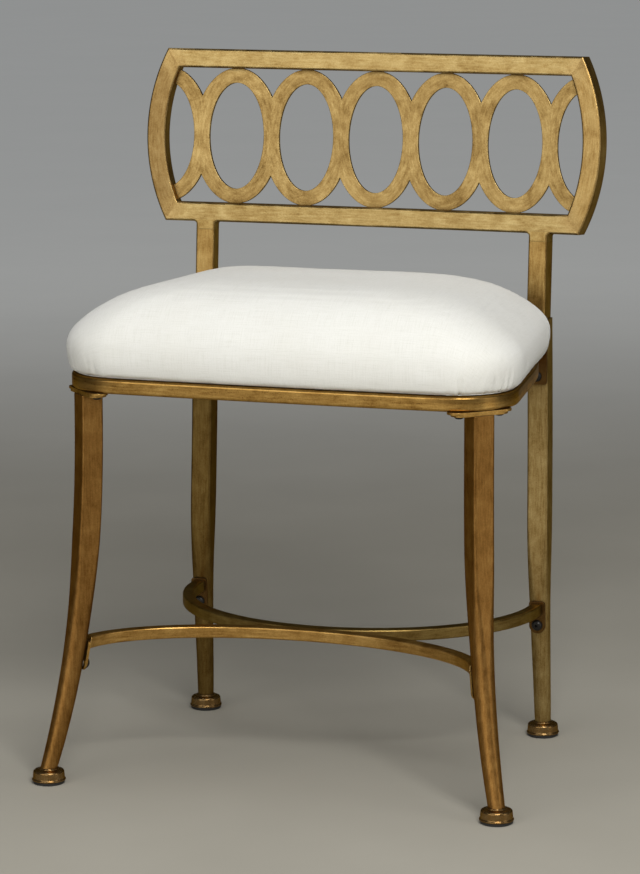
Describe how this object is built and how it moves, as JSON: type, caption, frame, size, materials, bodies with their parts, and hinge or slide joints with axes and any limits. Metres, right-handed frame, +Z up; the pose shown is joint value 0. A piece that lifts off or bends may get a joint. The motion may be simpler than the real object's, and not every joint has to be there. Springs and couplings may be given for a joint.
{
  "type": "vanity stool",
  "caption": "Vanity stool with a low, curved fretwork back, padded linen seat, slim metal legs swept out at the front and bowed stretchers.",
  "frame": {"origin": "on the floor, at the middle of the stool's bounding box in plan, close to the middle of the feet", "axes": "+Z up, -Y the front of the seat, +Y towards the back, +X to the right as seen from the front"},
  "size_m": [0.5014, 0.3822, 0.712],
  "materials": {
    "antique_gold": "satin, hand-rubbed antique gold over brown",
    "black_hardware": "satin black",
    "zinc_steel": "zinc plated",
    "black_plastic": "matt",
    "linen": "plain weave with slubs",
    "foam": "open cell foam",
    "plywood": "unfinished birch plywood",
    "dust_cloth": "thin black non-woven cloth"
  },
  "bodies": {
    "root": {"back_bottom_rail": "antique_gold", "back_end_left": "antique_gold", "back_end_right": "antique_gold", "back_fret_panel": "antique_gold", "back_post_left": "antique_gold", "back_post_right": "antique_gold", "back_top_rail": "antique_gold", "corner_plate_left": "antique_gold", "corner_plate_right": "antique_gold", "foot_cap_front_left": "antique_gold", "foot_cap_front_right": "antique_gold", "foot_cap_rear_left": "antique_gold", "foot_cap_rear_right": "antique_gold", "foot_glide_front_left": "black_plastic", "foot_glide_front_right": "black_plastic", "foot_glide_rear_left": "black_plastic", "foot_glide_rear_right": "black_plastic", "front_leg_left": "antique_gold", "front_leg_plate_left": "antique_gold", "front_leg_plate_right": "antique_gold", "front_leg_right": "antique_gold", "front_stretcher": "antique_gold", "leg_plate_screws": "black_hardware", "post_plug_left": "antique_gold", "post_plug_right": "antique_gold", "rear_bolts": "black_hardware", "rear_bracket_left": "antique_gold", "rear_bracket_right": "antique_gold", "rear_leg_left": "antique_gold", "rear_leg_right": "antique_gold", "rear_stretcher": "antique_gold", "ring_weld_nuts": "zinc_steel", "seat_board": "plywood", "seat_cover": "linen", "seat_dust_cloth": "dust_cloth", "seat_foam": "foam", "seat_rear_rail": "antique_gold", "seat_ring": "antique_gold", "seat_screws": "black_hardware", "seat_strap_front": "antique_gold", "seat_strap_rear": "antique_gold", "stretcher_bolts": "black_hardware", "stretcher_tab_front_left": "antique_gold", "stretcher_tab_front_right": "antique_gold", "stretcher_tab_rear_left": "antique_gold", "stretcher_tab_rear_right": "antique_gold", "threaded_inserts": "zinc_steel"}
  },
  "joints": []
}
